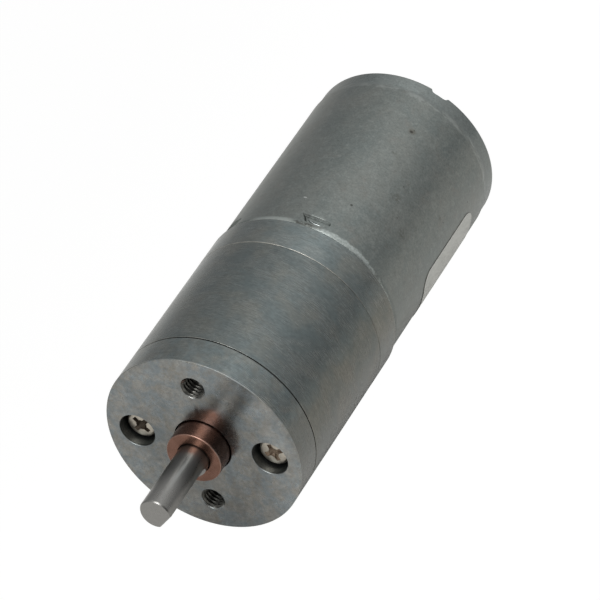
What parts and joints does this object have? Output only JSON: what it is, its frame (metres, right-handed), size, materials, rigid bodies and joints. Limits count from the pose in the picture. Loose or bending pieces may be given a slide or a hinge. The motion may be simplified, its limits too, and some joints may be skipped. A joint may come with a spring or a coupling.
{
  "type": "gearmotor",
  "caption": "Round metal spur gearbox on a brushed DC can motor, with a central D-cut output shaft in a bronze bush and threaded front mounting holes.",
  "frame": {"origin": "centre of the front mounting face, on the output shaft's axis", "axes": "-Y along the output shaft, away from the motor; +Y towards the motor's rear; +Z through the upper threaded mounting hole; +X to the right seen from the front"},
  "size_m": [0.025, 0.0744, 0.025],
  "materials": {
    "zinc_plate": "die-cast zinc, satin and mottled",
    "brushed_ring": "die-cast zinc, brushed round its circumference, blue-grey",
    "can_steel": "deep-drawn zinc-plated steel, dull grey",
    "shaft_steel": "ground steel",
    "screw_nickel": "nickel-plated steel, dull",
    "sintered_bronze": "oil-filled sintered bronze, copper brown",
    "gear_brass": "machined brass",
    "gear_steel": "hobbed steel, lightly greased",
    "copper": "copper strip",
    "winding_enamel": "enamelled copper wire",
    "ferrite": "sintered ferrite magnet, matt",
    "black_plastic": "moulded black plastic",
    "carbon": "carbon brush",
    "label_film": "blank off-white film"
  },
  "bodies": {
    "housing": {"front_plate": "zinc_plate", "gear_housing": "brushed_ring", "rear_plate": "brushed_ring", "output_bush": "sintered_bronze", "output_thrust_washer": "gear_brass", "case_screw_left": "screw_nickel", "case_screw_right": "screw_nickel", "gear_pin_lower": "shaft_steel", "gear_pin_upper": "shaft_steel", "lower_pin_front_spacer": "gear_steel", "lower_pin_rear_spacer": "gear_steel", "upper_pin_front_spacer": "gear_steel", "upper_pin_rear_spacer": "gear_steel", "motor_screw_upper": "shaft_steel", "motor_screw_lower": "shaft_steel", "motor_can": "can_steel", "front_bearing": "sintered_bronze", "rear_bearing": "sintered_bronze", "magnet_a": "ferrite", "magnet_b": "ferrite", "magnet_spring": "shaft_steel", "end_cap": "black_plastic", "brush_arm_a": "copper", "brush_arm_b": "copper", "brush_a": "carbon", "brush_b": "carbon", "terminal_a": "copper", "terminal_b": "copper", "motor_label": "label_film"},
    "output": {"output_shaft": "shaft_steel", "output_gear": "gear_steel"},
    "stage3": {"stage3_wheel": "gear_brass", "stage3_pinion": "gear_steel"},
    "stage2": {"stage2_wheel": "gear_brass", "stage2_pinion": "gear_steel"},
    "stage1": {"stage1_wheel": "gear_brass", "stage1_pinion": "gear_steel"},
    "armature": {"armature_shaft": "shaft_steel", "motor_pinion": "gear_brass", "armature_core": "gear_steel", "winding_a": "winding_enamel", "winding_b": "winding_enamel", "winding_c": "winding_enamel", "commutator_hub": "black_plastic", "commutator_segment_a": "copper", "commutator_segment_b": "copper", "commutator_segment_c": "copper"}
  },
  "joints": [
    {"name": "output_spin", "type": "hinge", "parent": "housing", "child": "output", "pos_m": [0, 0, 0], "axis": [0, 1, 0], "continuous": true},
    {"name": "stage3_spin", "type": "hinge", "parent": "housing", "child": "stage3", "pos_m": [-0.00353, 0, 0.00504], "axis": [0, 1, 0], "continuous": true},
    {"name": "stage2_spin", "type": "hinge", "parent": "housing", "child": "stage2", "pos_m": [0, 0, 0], "axis": [0, 1, 0], "continuous": true},
    {"name": "stage1_spin", "type": "hinge", "parent": "housing", "child": "stage1", "pos_m": [0.00353, 0, -0.00504], "axis": [0, 1, 0], "continuous": true},
    {"name": "armature_spin", "type": "hinge", "parent": "housing", "child": "armature", "pos_m": [0, 0, 0], "axis": [0, 1, 0], "continuous": true}
  ],
  "couplings": [
    {"joint": "stage3_spin", "follows": "output_spin", "ratio": -2.4167},
    {"joint": "stage2_spin", "follows": "output_spin", "ratio": 5.8403},
    {"joint": "stage1_spin", "follows": "output_spin", "ratio": -14.114},
    {"joint": "armature_spin", "follows": "output_spin", "ratio": 34.109}
  ]
}
